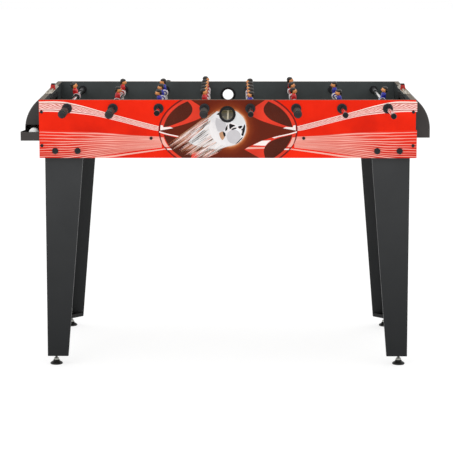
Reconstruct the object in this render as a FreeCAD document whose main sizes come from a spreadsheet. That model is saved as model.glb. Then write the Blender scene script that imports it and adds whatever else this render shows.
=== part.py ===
import FreeCAD, Part
import os
import Sketcher
from FreeCAD import Placement, Rotation, Vector

# Foosball table: a panel cabinet on four L-shaped legs, eight spinning rods with moulded players,
# a moulded ball return on each end, sliding score counters and screw-in levelling feet.
# Frame: origin on the floor under the middle of the cabinet, +X along the length, -Y is the front,
# +Z up.  All sizes are in millimetres.

DIMENSIONS = [
    ("cabinet_length", 1122, "outside length of the two side panels"),
    ("cabinet_width", 610, "outside width over the two side panels"),
    ("cabinet_top", 813, "height of the panels' top edge above the floor"),
    ("panel_height", 174, "height of every panel"),
    ("board", 15, "thickness of panels and legs"),
    ("field_drop", 93.5, "playing surface below the panels' top edge"),
    ("field_board", 9, "thickness of the playfield"),
    ("support_height", 24, "height of the battens under the playfield"),
    ("support_half", 15, "half the width of a batten"),
    ("support_place", 227.5, "batten's distance from the middle"),
    ("rod_spacing", 136.4, "distance between neighbouring rods"),
    ("rod_drop", 25.5, "rod axis below the panels' top edge"),
    ("rod_radius", 6.35, "outside radius of a rod"),
    ("rod_wall", 1.2, "wall of a rod's tube"),
    ("running_gap", 0.07, "radial clearance of a rod in its bushing"),
    ("grip_end", 225, "grip's end beyond the side panel, rod centred"),
    ("grip_length", 113, "length of a grip"),
    ("grip_radius", 12, "outside radius of a grip"),
    ("grip_dome", 8, "length of a grip's rounded tip"),
    ("grip_collar", 6, "plain collar at a grip's root"),
    ("flute_radius", 1.6, "radius of a grip's flutes"),
    ("flute_rise", 0.6, "flutes' axes outside the grip's radius"),
    ("cap_end", 135, "end cap's end beyond the side panel, rod centred"),
    ("cap_length", 18, "length of an end cap"),
    ("cap_radius", 8.6, "outside radius of an end cap"),
    ("flange_radius", 15, "outside radius of a bushing's flange"),
    ("flange", 3, "thickness of a bushing's flange"),
    ("sleeve_radius", 11, "radius of a bushing inside the panel"),
    ("stop_radius", 8.4, "outside radius of a goal rod's stop sleeve"),
    ("stop_length", 100, "length of a goal rod's stop sleeve"),
    ("bumper_radius", 10.5, "outside radius of a rubber bumper"),
    ("bumper_length", 15, "length of a rubber bumper"),
    ("player_half", 11, "half the width of a player along the rod"),
    ("hub_radius", 10.5, "radius of a player around the rod"),
    ("leg_top", 685, "height of a leg's top end"),
    ("leg_foot", 29, "height of a leg's lower end"),
    ("leg_wide", 113.5, "width of a leg's wing at the cabinet"),
    ("leg_narrow", 62.3, "width of a leg's wing at its lower end"),
    ("plate", 12, "thickness of the corner plate in a leg's lower end"),
    ("foot_inset", 24, "levelling foot's axis from the leg's outer faces"),
    ("stud_radius", 4, "radius of a levelling stud"),
    ("stud_gap", 0.06, "radial clearance of a levelling stud"),
    ("bolt_near", 32, "first leg bolt from the leg's corner"),
    ("bolt_far", 99, "second leg bolt from the leg's corner"),
    ("bolt_rise", 21, "leg bolts above the panel's lower edge"),
    ("bolt_radius", 4, "radius of a leg bolt"),
    ("bolt_cap", 9, "radius of a leg bolt's cap"),
    ("screw_radius", 2, "radius of a panel screw"),
    ("screw_head", 4.5, "radius of a panel screw's head"),
    ("screw_depth", 35, "length of a panel screw under its head"),
    ("screw_high", 36, "upper panel screw below the top edge"),
    ("screw_low", 137, "lower panel screw below the top edge"),
    ("hole_gap", 0.1, "radial clearance of screws and bolts in their holes"),
    ("serve_drop", 42.5, "serve cup's axis below the top edge"),
    ("serve_flange", 24.5, "outside radius of a serve cup"),
    ("serve_body", 21, "radius of a serve cup inside the panel"),
    ("serve_hole", 17.5, "radius of a serve cup's hole"),
    ("goal_half", 95, "half the width of a goal mouth"),
    ("goal_height", 65.5, "height of a goal mouth above the playfield"),
    ("goal_wall", 2, "wall of a goal frame's liner"),
    ("goal_flange_half", 114, "half the width of a goal frame's flange"),
    ("goal_flange_height", 80.5, "height of a goal frame's flange"),
    ("goal_flange", 3, "thickness of a goal frame's flange"),
    ("return_half", 245, "half the length of a ball return's cover"),
    ("return_depth", 49, "how far a ball return's cover stands out"),
    ("return_drop", 95, "height of a ball return's curved part"),
    ("return_bottom", 693, "height of a ball return's underside"),
    ("return_wall", 2.5, "wall of a ball return"),
    ("tray_end", 300, "ball tray's outer end from the middle"),
    ("tray_depth", 58, "how far a ball tray stands out"),
    ("tray_bottom", 690, "height of a ball tray's underside"),
    ("tray_top", 716, "height of a ball tray's rim"),
    ("mouth_top", 732, "top of the opening between cover and tray"),
    ("ball_radius", 15.5, "radius of the ball"),
    ("strip_half", 110, "half the length of a score strip"),
    ("strip_wide", 20, "width of a score strip"),
    ("strip_thick", 3, "thickness of a score strip"),
    ("rail_wide", 4, "width of the rail on a score strip"),
    ("rail_high", 5, "height of the rail on a score strip"),
    ("score_place", -12, "place of both score sliders along Y at rest"),
]

doc = FreeCAD.newDocument("foosball_table")


class Size:
    """A number worked out from the sheet, with the expression that keeps it bound to the sheet."""

    def __init__(self, value, text):
        self.value = value
        self.text = text

    def __add__(self, other):
        other = as_size(other)
        return Size(self.value + other.value, f"({self.text} + {other.text})")

    def __sub__(self, other):
        other = as_size(other)
        return Size(self.value - other.value, f"({self.text} - {other.text})")

    def __mul__(self, other):
        other = as_size(other)
        return Size(self.value * other.value, f"({self.text} * {other.text})")

    def __truediv__(self, other):
        other = as_size(other)
        return Size(self.value / other.value, f"({self.text} / {other.text})")

    def __neg__(self):
        return Size(-self.value, f"(-1 * {self.text})")

    def __radd__(self, other):
        return as_size(other) + self

    def __rsub__(self, other):
        return as_size(other) - self

    def __rmul__(self, other):
        return as_size(other) * self


def as_size(number):
    """Give a plain number the same form as one from the sheet."""
    if isinstance(number, Size):
        return number
    return Size(float(number), f"{float(number)}")


def fill_sheet():
    """Write the driving dimensions into the sheet and give each one back under its own name."""
    sheet = doc.addObject("Spreadsheet::Sheet", "Sizes")
    named = {}
    for row, (alias, value, note) in enumerate(DIMENSIONS, start=1):
        sheet.set(f"A{row}", note)
        sheet.set(f"B{row}", str(value))
        sheet.setAlias(f"B{row}", alias)
        named[alias] = Size(float(value), f"Sizes.{alias}")
    doc.recompute()
    return named


S = fill_sheet()

half_length = S["cabinet_length"] / 2
half_width = S["cabinet_width"] / 2
top = S["cabinet_top"]
bottom = top - S["panel_height"]
inner_x = half_length - S["board"]
inner_y = half_width - S["board"]
field_z = top - S["field_drop"]
rod_z = top - S["rod_drop"]
bore = S["rod_radius"] + S["running_gap"]
bolt_z = bottom + S["bolt_rise"]
support_z = field_z - S["field_board"] - S["support_height"] / 2
screw_heights = [top - S["screw_high"], top - S["screw_low"]]

SIDES = (-1, 1)
END_WALL = 6
FLUTES = 16
CORNERS = {
    "front_left": (-1, -1, 0),
    "front_right": (1, -1, 90),
    "rear_right": (1, 1, 180),
    "rear_left": (-1, 1, 270),
}

# One row per rod, counted from the left: players on it, gap between them, whether its team is the
# red one (grip at the front, facing +X), its place along Y and its tilt about Y in degrees.
RODS = [
    (1, 0, True, 47, -14),
    (2, 260, True, 34, 6),
    (3, 180, False, -6, -7),
    (5, 105, True, 48, -7),
    (5, 105, False, -35, 3),
    (3, 180, True, 50, -5),
    (2, 260, False, -55, -6),
    (1, 0, False, -84, 12),
]

nodes = []


# ---- building helpers ----------------------------------------------------------------------------

def new_body(label, node=True):
    """Start a body; one that is a sub-part is written out under its label."""
    body = doc.addObject("PartDesign::Body", label)
    body.Label = label
    body.AllowCompound = True
    if node:
        nodes.append(body)
    return body


def origin_feature(body, role):
    """Find one of the body's own origin planes or axes."""
    return next(item for item in body.Origin.OriginFeatures if item.Role == role)


def sketch_on(body, role, height=0):
    """Attach a sketch to an origin plane, at a height along the matching positive axis."""
    sketch = body.newObject("Sketcher::SketchObject", f"{body.Name}_sketch")
    sketch.AttachmentSupport = [(origin_feature(body, role), "")]
    sketch.MapMode = "FlatFace"
    level = as_size(height)
    if role == "XZ_Plane":
        level = -level
    sketch.AttachmentOffset = Placement(Vector(0, 0, level.value), Rotation())
    sketch.setExpression("AttachmentOffset.Base.z", level.text)
    return sketch


def hold(sketch, kind, size, *where):
    """Add one measured constraint and bind it to the sheet."""
    size = as_size(size)
    index = sketch.addConstraint(Sketcher.Constraint(kind, *where, size.value))
    sketch.setExpression(f"Constraints[{index}]", size.text)


def hold_point(sketch, edge, end, x, y):
    """Hold one point of an edge at its distances from the sketch's origin."""
    hold(sketch, "DistanceX", x, -1, 1, edge, end)
    hold(sketch, "DistanceY", y, -1, 1, edge, end)


def arc_between(start, end, radius):
    """Make the short arc from start to end; a positive radius bulges to the right of the way."""
    chord = end - start
    reach = abs(radius)
    sagitta = reach - (reach * reach - chord.Length * chord.Length / 4) ** 0.5
    right = Vector(chord.y, -chord.x, 0).normalize()
    middle = (start + end) * 0.5 + right * (sagitta if radius > 0 else -sagitta)
    return Part.Arc(start, middle, end)


def outline(sketch, corners, arcs=()):
    """Draw a closed outline; arcs maps a corner's index to the radius of the edge that leaves it."""
    arcs = dict(arcs)
    spots = [Vector(as_size(x).value, as_size(y).value, 0) for x, y in corners]
    first = sketch.GeometryCount
    ends = []
    for index, start in enumerate(spots):
        finish = spots[(index + 1) % len(spots)]
        if index in arcs:
            sketch.addGeometry(arc_between(start, finish, as_size(arcs[index]).value))
        else:
            sketch.addGeometry(Part.LineSegment(start, finish))
        made = sketch.Geometry[first + index]
        forward = (made.StartPoint - start).Length < 1e-6
        ends.append((1, 2) if forward else (2, 1))
    for index, (x, y) in enumerate(corners):
        following = (index + 1) % len(spots)
        pair = (first + index, ends[index][1], first + following, ends[following][0])
        sketch.addConstraint(Sketcher.Constraint("Coincident", *pair))
        hold_point(sketch, first + index, ends[index][0], x, y)
        if index in arcs:
            radius = as_size(arcs[index])
            hold(sketch, "Radius", radius if radius.value > 0 else -radius, first + index)


def rectangle(sketch, x0, y0, x1, y1):
    """Draw a rectangle between two opposite corners."""
    outline(sketch, [(x0, y0), (x1, y0), (x1, y1), (x0, y1)])


def circle(sketch, x, y, radius):
    """Draw a circle held by its centre and its radius."""
    x, y, radius = as_size(x), as_size(y), as_size(radius)
    edge = sketch.addGeometry(Part.Circle(Vector(x.value, y.value, 0), Vector(0, 0, 1), radius.value))
    hold_point(sketch, edge, 3, x, y)
    hold(sketch, "Radius", radius, edge)


def feature(body, sketch, kind, length, backwards):
    """Make a pad or a pocket of a sketch and see that it changed the body's volume."""
    doc.recompute()
    before = body.Shape.Volume if body.Tip and not body.Shape.isNull() else 0.0
    made = body.newObject(f"PartDesign::{kind}", f"{body.Name}_{kind.lower()}")
    made.Profile = sketch
    made.Type = 0
    made.Length = as_size(length).value
    made.setExpression("Length", as_size(length).text)
    made.Reversed = backwards
    doc.recompute()
    after = body.Shape.Volume
    changed = after > before + 0.01 if kind == "Pad" else after < before - 0.01
    if not changed:
        raise RuntimeError(f"{body.Label}: {kind} of {sketch.Name} changed nothing")
    return made


def is_xz(sketch):
    """Tell whether a sketch lies on the XZ plane, whose normal points along -Y."""
    return sketch.AttachmentSupport[0][0].Role == "XZ_Plane"


def pad(body, sketch, length):
    """Add material from the sketch towards the positive axis."""
    return feature(body, sketch, "Pad", length, is_xz(sketch))


def pocket(body, sketch, length):
    """Remove material from the sketch towards the positive axis."""
    return feature(body, sketch, "Pocket", length, not is_xz(sketch))


def revolve(body, sketch, axis):
    """Turn the sketch's outlines round one of its own axes."""
    made = body.newObject("PartDesign::Revolution", f"{body.Name}_turned")
    made.Profile = sketch
    made.ReferenceAxis = (sketch, [axis])
    made.Angle = 360
    doc.recompute()
    return made


def pattern_along(body, original, role, reach, count):
    """Repeat a feature evenly along one of the body's axes."""
    made = body.newObject("PartDesign::LinearPattern", f"{body.Name}_row")
    made.Originals = [original]
    made.Direction = (origin_feature(body, role), [""])
    made.Length = as_size(reach).value
    made.setExpression("Length", as_size(reach).text)
    made.Occurrences = count
    body.Tip = made
    doc.recompute()
    return made


def round_edges(body, wanted, radius):
    """Round the edges of the body's last feature that a test picks out."""
    base = body.Tip
    names = [f"Edge{index}" for index, edge in enumerate(base.Shape.Edges, start=1) if wanted(edge)]
    before = body.Shape.Volume
    made = body.newObject("PartDesign::Fillet", f"{body.Name}_round")
    made.Base = (base, names)
    made.Radius = radius
    doc.recompute()
    if abs(body.Shape.Volume - before) < 0.01:
        raise RuntimeError(f"{body.Label}: rounding changed nothing")


def place(item, x=0, y=0, z=0, turn=Rotation()):
    """Put a finished piece at its place, bound to the sheet."""
    spot = [as_size(number) for number in (x, y, z)]
    item.Placement = Placement(Vector(*[number.value for number in spot]), turn)
    for name, number in zip("xyz", spot):
        item.setExpression(f"Placement.Base.{name}", number.text)


# ---- cabinet -------------------------------------------------------------------------------------

def rod_x(index):
    """Place of a rod along the cabinet."""
    return S["rod_spacing"] * (index - (len(RODS) - 1) / 2)


def make_side_panel(label, y):
    """Long panel with holes for rods, serve cup, leg bolts and screws."""
    body = new_body(label)
    face = sketch_on(body, "XZ_Plane", y)
    rectangle(face, -half_length, bottom, half_length, top)
    pad(body, face, S["board"])
    holes = sketch_on(body, "XZ_Plane", y)
    for index in range(len(RODS)):
        circle(holes, rod_x(index), rod_z, S["sleeve_radius"])
    circle(holes, 0, top - S["serve_drop"], S["serve_body"])
    small = S["screw_radius"] + S["hole_gap"]
    for side in SIDES:
        for reach in (S["bolt_near"], S["bolt_far"]):
            circle(holes, side * (inner_x - reach), bolt_z, S["bolt_radius"] + S["hole_gap"])
        for height in screw_heights:
            circle(holes, side * (half_length - S["board"] / 2), height, small)
        circle(holes, side * S["support_place"], support_z, small)
    pocket(body, holes, S["board"])


def make_end_panel(label, side):
    """Short panel with the goal opening, leg bolt holes and the screws' pilot holes."""
    body = new_body(label)
    near = half_length - S["board"]
    start = near if side > 0 else -half_length
    face = sketch_on(body, "YZ_Plane", start)
    rectangle(face, -inner_y, bottom, inner_y, top)
    pad(body, face, S["board"])
    holes = sketch_on(body, "YZ_Plane", start)
    liner = S["goal_half"] + S["goal_wall"]
    rectangle(holes, -liner, field_z, liner, field_z + S["goal_height"] + S["goal_wall"])
    for way in SIDES:
        for reach in (S["bolt_near"], S["bolt_far"]):
            circle(holes, way * (inner_y - reach), bolt_z, S["bolt_radius"] + S["hole_gap"])
    pocket(body, holes, S["board"])
    depth = S["screw_depth"] - S["board"]
    for y in (-inner_y, inner_y - depth):
        pilots = sketch_on(body, "XZ_Plane", y)
        for height in screw_heights:
            middle = side * (half_length - S["board"] / 2)
            circle(pilots, middle, height, S["screw_radius"] + S["hole_gap"])
        pocket(body, pilots, depth)


def make_playfield():
    """Flat playing surface between the four panels."""
    body = new_body("playfield")
    face = sketch_on(body, "XY_Plane", field_z - S["field_board"])
    rectangle(face, -inner_x, -inner_y, inner_x, inner_y)
    pad(body, face, S["field_board"])


def make_field_supports():
    """Four battens under the playfield, the middle two screwed to the side panels."""
    body = new_body("field_supports")
    face = sketch_on(body, "XY_Plane", field_z - S["field_board"] - S["support_height"])
    for side in SIDES:
        for middle in (S["support_place"], inner_x - S["support_half"]):
            centre = side * middle
            half = S["support_half"]
            rectangle(face, centre - half, -inner_y, centre + half, inner_y)
    pad(body, face, S["support_height"])
    depth = S["screw_depth"] - S["board"]
    for y in (-inner_y, inner_y - depth):
        pilots = sketch_on(body, "XZ_Plane", y)
        for side in SIDES:
            circle(pilots, side * S["support_place"], support_z, S["screw_radius"] + S["hole_gap"])
        pocket(body, pilots, depth)


def make_panel_screws():
    """Domed black screws through the side panels, one solid each."""
    body = new_body("panel_screws")
    head = 1.8
    layers = [
        (-half_width - head, head, S["screw_head"]),
        (-half_width, S["screw_depth"], S["screw_radius"]),
        (half_width - S["screw_depth"], S["screw_depth"], S["screw_radius"]),
        (half_width, as_size(head), S["screw_head"]),
    ]
    for y, length, radius in layers:
        layer = sketch_on(body, "XZ_Plane", y)
        for side in SIDES:
            for height in screw_heights:
                circle(layer, side * (half_length - S["board"] / 2), height, radius)
            circle(layer, side * S["support_place"], support_z, radius)
        pad(body, layer, length)


def make_leg_bolts():
    """Capped bolts through panel and leg, and the round nut on each bolt's inner end."""
    body = new_body("leg_bolts")
    cap = 3.5
    nut = 5
    grip = 2 * S["board"]
    reaches = (S["bolt_near"], S["bolt_far"])
    for plane, outer, corner in (("XZ_Plane", half_width, inner_x), ("YZ_Plane", half_length, inner_y)):
        for way in SIDES:
            face = way * outer
            deep = face - way * (grip + nut)
            seat = face - way * grip
            layers = [
                (face if way > 0 else face - cap, cap, S["bolt_cap"]),
                (deep if way > 0 else face, grip + nut, S["bolt_radius"]),
                (deep if way > 0 else seat, nut, S["bolt_cap"] - 1),
            ]
            for level, length, radius in layers:
                layer = sketch_on(body, plane, level)
                for side in SIDES:
                    for reach in reaches:
                        circle(layer, side * (corner - reach), bolt_z, radius)
                pad(body, layer, length)


def make_leg(label, side_x, side_y, turn):
    """L-shaped leg of two tapering wings, standing in a corner of the cabinet."""
    body = new_body(label)
    taper = [
        (0, S["leg_foot"]),
        (S["leg_narrow"], S["leg_foot"]),
        (S["leg_wide"], bottom),
        (S["leg_wide"], S["leg_top"]),
        (0, S["leg_top"]),
    ]
    for plane in ("XZ_Plane", "YZ_Plane"):
        wing = sketch_on(body, plane)
        outline(wing, taper)
        pad(body, wing, S["board"])
    for plane in ("XZ_Plane", "YZ_Plane"):
        holes = sketch_on(body, plane)
        for reach in (S["bolt_near"], S["bolt_far"]):
            circle(holes, reach, bolt_z, S["bolt_radius"] + S["hole_gap"])
        pocket(body, holes, S["board"])
    place(body, side_x * inner_x, side_y * inner_y, 0, Rotation(Vector(0, 0, 1), turn))


def make_foot_plates():
    """Triangular plate in the lower end of each leg, tapped for the levelling foot."""
    body = new_body("leg_foot_plates")
    face = sketch_on(body, "XY_Plane", S["leg_foot"])
    for side_x, side_y, _ in CORNERS.values():
        near_x = side_x * (inner_x - S["board"])
        near_y = side_y * (inner_y - S["board"])
        far_x = side_x * (inner_x - S["leg_narrow"])
        far_y = side_y * (inner_y - S["leg_narrow"])
        outline(face, [(near_x, near_y), (far_x, near_y), (near_x, far_y)])
        hole_x = side_x * (inner_x - S["foot_inset"])
        hole_y = side_y * (inner_y - S["foot_inset"])
        circle(face, hole_x, hole_y, S["stud_radius"] + S["stud_gap"])
    pad(body, face, S["plate"])


def make_leveller(label, side_x, side_y):
    """Bell-shaped levelling foot on its threaded stud."""
    body = new_body(label)
    profile = sketch_on(body, "XZ_Plane")
    stud = S["stud_radius"]
    corners = [
        (0, 0), (19, 0), (19, 3.5), (9, 13), (7.4, 13), (7.4, 19), (stud, 19), (stud, 58), (0, 58),
    ]
    outline(profile, corners)
    revolve(body, profile, "V_Axis")
    place(body, side_x * (inner_x - S["foot_inset"]), side_y * (inner_y - S["foot_inset"]), 0)


# ---- goals, ball returns and scoring ------------------------------------------------------------

def half_turn(side):
    """Right-hand pieces are drawn as they stand; the left-hand ones are turned half round."""
    return Rotation(Vector(0, 0, 1), 0 if side > 0 else 180)


def make_goal_frame(label, side):
    """U-shaped frame: a liner through the end panel and a flange on its inner face."""
    body = new_body(label)
    half = S["goal_half"]
    height = field_z + S["goal_height"]
    shells = [
        (inner_x, S["board"], half + S["goal_wall"], height + S["goal_wall"]),
        (inner_x - S["goal_flange"], S["goal_flange"], S["goal_flange_half"],
         field_z + S["goal_flange_height"]),
    ]
    for level, length, outer, high in shells:
        layer = sketch_on(body, "YZ_Plane", level)
        outline(layer, [
            (-outer, field_z), (-half, field_z), (-half, height), (half, height),
            (half, field_z), (outer, field_z), (outer, high), (-outer, high),
        ])
        pad(body, layer, length)
    place(body, turn=half_turn(side))


def return_profile(sketch, gap):
    """Outline of a ball return's cover, drawn in from the outside by a gap."""
    depth = S["return_depth"]
    drop = S["return_drop"]
    radius = (depth * depth + drop * drop) / (2 * depth) - gap
    corners = [
        (half_length, return_top(gap)),
        (half_length, S["return_bottom"] + gap),
        (half_length + depth - gap, S["return_bottom"] + gap),
        (half_length + depth - gap, top - drop),
    ]
    outline(sketch, corners, {3: radius})


def return_top(gap):
    """Height at which the cover's arc, drawn in by a gap, meets the end panel."""
    depth = S["return_depth"]
    drop = S["return_drop"]
    radius = (depth * depth + drop * drop) / (2 * depth)
    inset = radius - depth
    value = (radius.value - gap.value) ** 2 - inset.value ** 2
    inner = f"sqrt(({(radius - gap).text}) ^ 2 - ({inset.text}) ^ 2)"
    return top - drop + Size(value ** 0.5, inner)


def make_ball_return(label, side):
    """Moulded cover behind a goal, with the ball tray at one end of it."""
    body = new_body(label)
    wall = S["return_wall"]
    half = S["return_half"]
    cover = sketch_on(body, "XZ_Plane", -half)
    return_profile(cover, as_size(0))
    pad(body, cover, 2 * half)
    ends = (half.value, -half.value)

    def on_cheek_rim(edge):
        box = edge.BoundBox
        flat = box.YLength < 0.01 and min(abs(box.YMin - end) for end in ends) < 0.01
        return flat and box.XMax > half_length.value + 1 and box.ZLength > 1

    round_edges(body, on_cheek_rim, 5)
    tray = sketch_on(body, "XY_Plane", S["tray_bottom"])
    outer = half_length + S["tray_depth"]
    outline(tray, [
        (half_length, half - 20),
        (half_length + S["return_depth"] - wall, half - 20),
        (half_length + S["return_depth"], half),
        (outer, S["tray_end"] - 14),
        (outer - 2, S["tray_end"]),
        (half_length, S["tray_end"]),
    ])
    pad(body, tray, S["tray_top"] - S["tray_bottom"])
    hollow = sketch_on(body, "XZ_Plane", wall - half)
    return_profile(hollow, wall)
    pocket(body, hollow, 2 * half - 2 * wall)
    floor = S["return_bottom"] + wall
    inside = sketch_on(body, "XY_Plane", floor)
    outline(inside, [
        (half_length + wall, half - wall),
        (half_length + S["return_depth"] - wall, half - wall),
        (outer - wall, S["tray_end"] - 14),
        (outer - wall - 2, S["tray_end"] - wall),
        (half_length + wall, S["tray_end"] - wall),
    ])
    pocket(body, inside, S["tray_top"] - floor)
    mouth = sketch_on(body, "XZ_Plane", half - wall)
    rectangle(mouth, half_length + wall, floor, half_length + S["return_depth"] - wall, S["mouth_top"])
    pocket(body, mouth, wall)
    place(body, turn=half_turn(side))


def make_scorer_strips():
    """Number strips with their rails, on top of the end panels."""
    body = new_body("scorer_strips")
    half = S["strip_half"]
    base = sketch_on(body, "XY_Plane", top)
    rail = sketch_on(body, "XY_Plane", top + S["strip_thick"])
    for side in SIDES:
        rectangle(base, side * half_length, -half, side * (half_length - S["strip_wide"]), half)
        inner = half_length - S["strip_wide"] + S["rail_wide"]
        rectangle(rail, side * inner, -half, side * (inner + S["rail_wide"]), half)
    pad(body, base, S["strip_thick"])
    pad(body, rail, S["rail_high"])


def make_score_slider(label, side):
    """Saddle that straddles the rail of a score strip."""
    body = new_body(label)
    slip = 0.3
    inner = half_length - S["strip_wide"] + S["rail_wide"]
    floor = top + S["strip_thick"] + slip
    shape = sketch_on(body, "XZ_Plane", -6)
    crown = floor + 15
    low = inner - slip
    high = inner + S["rail_wide"] + slip
    slot = top + S["strip_thick"] + S["rail_high"] + slip
    outline(shape, [
        (inner - 6, floor), (low, floor), (low, slot), (high, slot), (high, floor),
        (inner + 10, floor), (inner + 8, crown), (inner - 4, crown),
    ])
    pad(body, shape, 12)
    place(body, 0, S["score_place"], 0, half_turn(side))


def add_sphere(body, radius, height):
    """Add a sphere above the body's origin."""
    ball = body.newObject("PartDesign::AdditiveSphere", f"{body.Name}_sphere")
    ball.AttachmentSupport = [(origin_feature(body, "XY_Plane"), "")]
    ball.MapMode = "FlatFace"
    ball.AttachmentOffset = Placement(Vector(0, 0, height), Rotation())
    ball.setExpression("Radius", as_size(radius).text)
    doc.recompute()


def make_ball():
    """Ball that lies on the floor of the left-hand tray, beside the cabinet."""
    body = new_body("game_ball")
    radius = S["ball_radius"]
    clear = 0.3
    add_sphere(body, radius, 0)
    x = half_length + S["return_wall"] + radius + clear
    floor = S["return_bottom"] + S["return_wall"]
    place(body, -x, -S["tray_end"] + 22, floor + radius + clear)


# ---- rods ----------------------------------------------------------------------------------------

def make_bushings():
    """Flanged bushing at each rod hole, and the stop sleeves of the two goal rods."""
    body = new_body("rod_bushings")
    profile = sketch_on(body, "YZ_Plane")
    outer = half_width + S["flange"]
    inner = inner_y - S["flange"]
    sleeve = S["sleeve_radius"]
    flange = S["flange_radius"]
    for way in SIDES:
        outline(profile, [
            (way * inner, bore), (way * outer, bore), (way * outer, flange),
            (way * half_width, flange), (way * half_width, sleeve), (way * inner_y, sleeve),
            (way * inner_y, flange - 2), (way * inner, flange - 2),
        ])
    turned = revolve(body, profile, "H_Axis")
    reach = S["rod_spacing"] * (len(RODS) - 1)
    pattern_along(body, turned, "X_Axis", reach, len(RODS))
    stops = sketch_on(body, "YZ_Plane")
    for way in SIDES:
        end = inner - S["stop_length"]
        rectangle(stops, way * inner, bore, way * end, S["stop_radius"])
    sleeves = revolve(body, stops, "H_Axis")
    pattern_along(body, sleeves, "X_Axis", reach, 2)
    place(body, rod_x(0), 0, rod_z)


def make_serve_cups():
    """Funnel through each side panel where the ball is served."""
    body = new_body("serve_cups")
    profile = sketch_on(body, "YZ_Plane")
    for way in SIDES:
        outline(profile, [
            (way * (inner_y - 2), S["serve_hole"]), (way * (half_width + 1), S["serve_hole"]),
            (way * (half_width + 3.5), S["serve_flange"] - 3),
            (way * (half_width + 3.5), S["serve_flange"]),
            (way * half_width, S["serve_flange"]), (way * half_width, S["serve_body"]),
            (way * (inner_y - 2), S["serve_body"]),
        ])
    revolve(body, profile, "H_Axis")
    place(body, 0, 0, top - S["serve_drop"])


def make_player():
    """One moulded player, standing upright on a rod that lies along Y through the origin."""
    body = new_body("player", node=False)
    half = S["player_half"]
    sections = [
        (-61, -6, 12, half - 2),
        (-51, -7, 9, half - 2),
        (-46, -6, 5, half - 3),
        (-20, -7, 7, half - 1.5),
        (0, -8, 8, half - 0.5),
        (18, -8, 8, half),
        (26, -6, 6, half - 2),
        (30, -3.5, 3.5, half - 7),
    ]
    slices = []
    for height, back, front, across in sections:
        layer = sketch_on(body, "XY_Plane", height)
        rectangle(layer, back, -across, front, across)
        slices.append(layer)
    doc.recompute()
    figure = body.newObject("PartDesign::AdditiveLoft", "player_figure")
    figure.Profile = slices[0]
    figure.Sections = slices[1:]
    figure.Ruled = True
    doc.recompute()
    hub = sketch_on(body, "XZ_Plane", -half)
    circle(hub, 0, 0, S["hub_radius"])
    pad(body, hub, 2 * half)
    add_sphere(body, 9, 38.5)
    rod_hole = sketch_on(body, "XZ_Plane", -half)
    circle(rod_hole, 0, 0, bore)
    pocket(body, rod_hole, 2 * half)
    pin_hole = sketch_on(body, "YZ_Plane", -S["hub_radius"])
    circle(pin_hole, 0, 0, 1.6)
    pocket(body, pin_hole, 2 * S["hub_radius"])
    return body


def player_places(count, gap):
    """Places of a rod's players along it, from the middle."""
    return [gap * (index - (count - 1) / 2) for index in range(count)]


def make_tube(label, places):
    """Steel tube of a rod, and the pin that holds each player on it."""
    body = new_body(label)
    inside = S["rod_radius"] - S["rod_wall"]
    start = END_WALL - half_width - S["grip_end"]
    end = half_width + S["cap_end"] - END_WALL
    ring = sketch_on(body, "XZ_Plane", start)
    circle(ring, 0, 0, S["rod_radius"])
    circle(ring, 0, 0, inside)
    pad(body, ring, end - start)
    holes = sketch_on(body, "YZ_Plane", -S["hub_radius"])
    pins = sketch_on(body, "YZ_Plane", -S["hub_radius"])
    for place_y in places:
        circle(holes, place_y, 0, 1.6)
        circle(pins, place_y, 0, 1.5)
    pocket(body, holes, 2 * S["hub_radius"])
    pad(body, pins, 2 * S["hub_radius"])
    return body


def make_grip(label):
    """Grip with long flutes on one end of the rod, and the small cap on its other end."""
    body = new_body(label)
    tip = -half_width - S["grip_end"]
    root = tip + S["grip_length"]
    radius = S["grip_radius"]
    dome = S["grip_dome"]
    profile = sketch_on(body, "YZ_Plane")
    outline(profile, [
        (tip + END_WALL, 0), (tip + END_WALL, bore), (root, bore), (root, radius - 2.5),
        (root - 2.5, radius), (tip + dome, radius), (tip, 3), (tip, 0),
    ], {5: radius})
    end = half_width + S["cap_end"]
    small = S["cap_radius"]
    face = end - S["cap_length"]
    outline(profile, [
        (end - END_WALL, 0), (end, 0), (end, 2), (end - 5, small), (face + 1, small),
        (face, small - 1), (face, bore), (end - END_WALL, bore),
    ], {2: 8})
    revolve(body, profile, "H_Axis")
    start = tip + dome + 2
    flute = sketch_on(body, "XZ_Plane", start)
    circle(flute, 0, radius + S["flute_rise"], S["flute_radius"])
    cut = pocket(body, flute, root - S["grip_collar"] - start)
    ring = body.newObject("PartDesign::PolarPattern", f"{body.Name}_flutes")
    ring.Originals = [cut]
    ring.Axis = (origin_feature(body, "Y_Axis"), [""])
    ring.Angle = 360
    ring.Occurrences = FLUTES
    body.Tip = ring
    before = body.Shape.Volume
    doc.recompute()
    if body.Shape.Volume > before - 0.01:
        raise RuntimeError(f"{label}: the grip's flutes cut nothing")
    return body


def make_bumpers(label, places):
    """Loose rubber bumper on the rod, outside the outermost player at each side."""
    body = new_body(label)
    profile = sketch_on(body, "YZ_Plane")
    near = max(places, key=lambda spot: as_size(spot).value)
    near = as_size(near) + S["player_half"] + 0.3
    for way in SIDES:
        rectangle(profile, way * near, bore, way * (near + S["bumper_length"]), S["bumper_radius"])
    revolve(body, profile, "H_Axis")
    return body


def make_players(label, master, places):
    """The players of one rod, each a copy of the one moulding."""
    copies = []
    for spot in places:
        copy = doc.addObject("App::Link", f"{label}_copy")
        copy.LinkedObject = master
        copy.Placement = Placement(Vector(0, as_size(spot).value, 0), Rotation())
        copies.append(copy)
    group = doc.addObject("Part::Compound", label)
    group.Label = label
    group.Links = copies
    nodes.append(group)
    return group


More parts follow.
